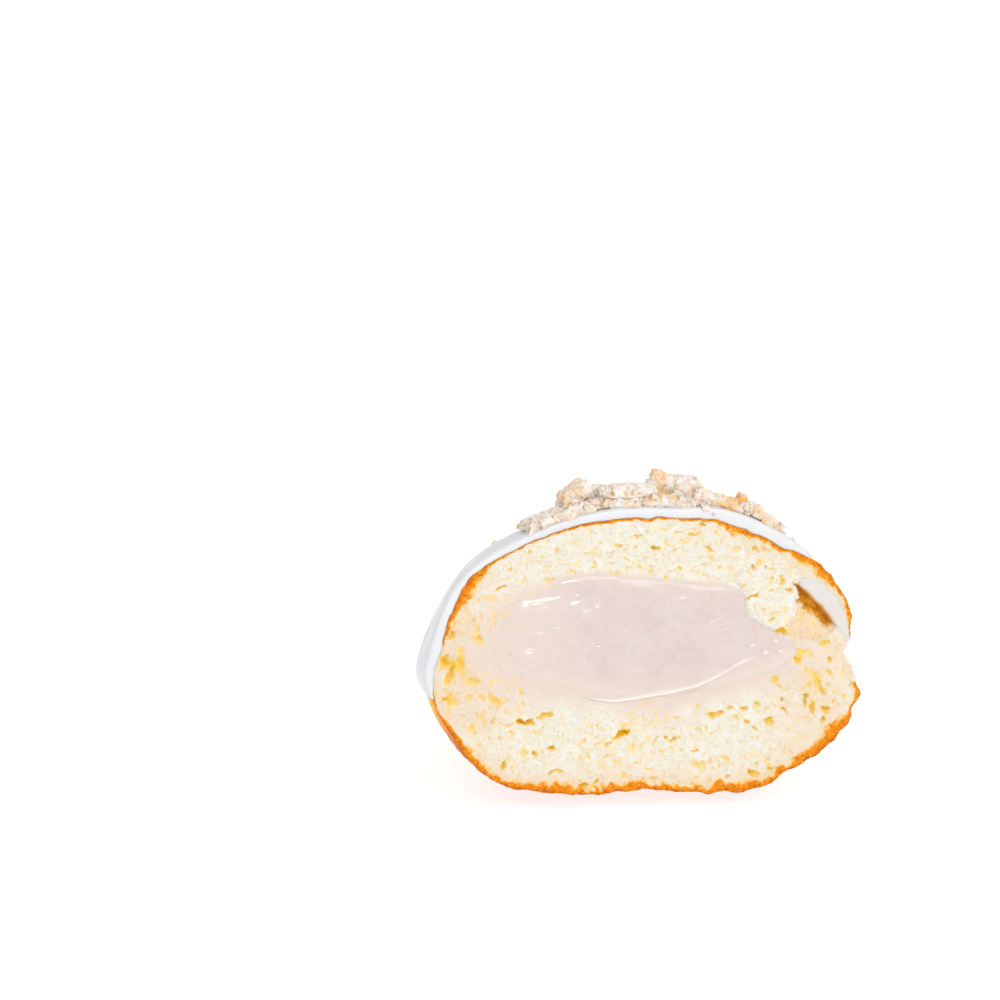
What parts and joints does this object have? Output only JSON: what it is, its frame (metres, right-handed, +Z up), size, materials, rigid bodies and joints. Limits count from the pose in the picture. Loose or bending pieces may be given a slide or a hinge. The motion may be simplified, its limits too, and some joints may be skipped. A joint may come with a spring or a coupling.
{
  "type": "cereal-topped doughnut half",
  "caption": "Cut half of a cream-filled round doughnut with white icing and broken cereal squares on top, resting on its base with the cut facing forward.",
  "frame": {"origin": "centre of the bounding box, on the surface that the half rests on", "axes": "+Z up, +X along the cut to its right as seen from the front, -Y out of the cut"},
  "size_m": [0.0892, 0.053, 0.0652],
  "materials": {
    "dough": "soft open crumb with a thin golden crust",
    "cream": "moist and glossy",
    "icing": "smooth satin",
    "cereal": "dry, porous and speckled"
  },
  "bodies": {
    "root": {"dough": "dough", "cream_filling": "cream", "icing": "icing", "icing_in_hole": "icing", "cereal_heap": "cereal", "cereal_piece_1": "cereal", "cereal_piece_2": "cereal", "cereal_piece_3": "cereal", "cereal_piece_4": "cereal"}
  },
  "joints": []
}
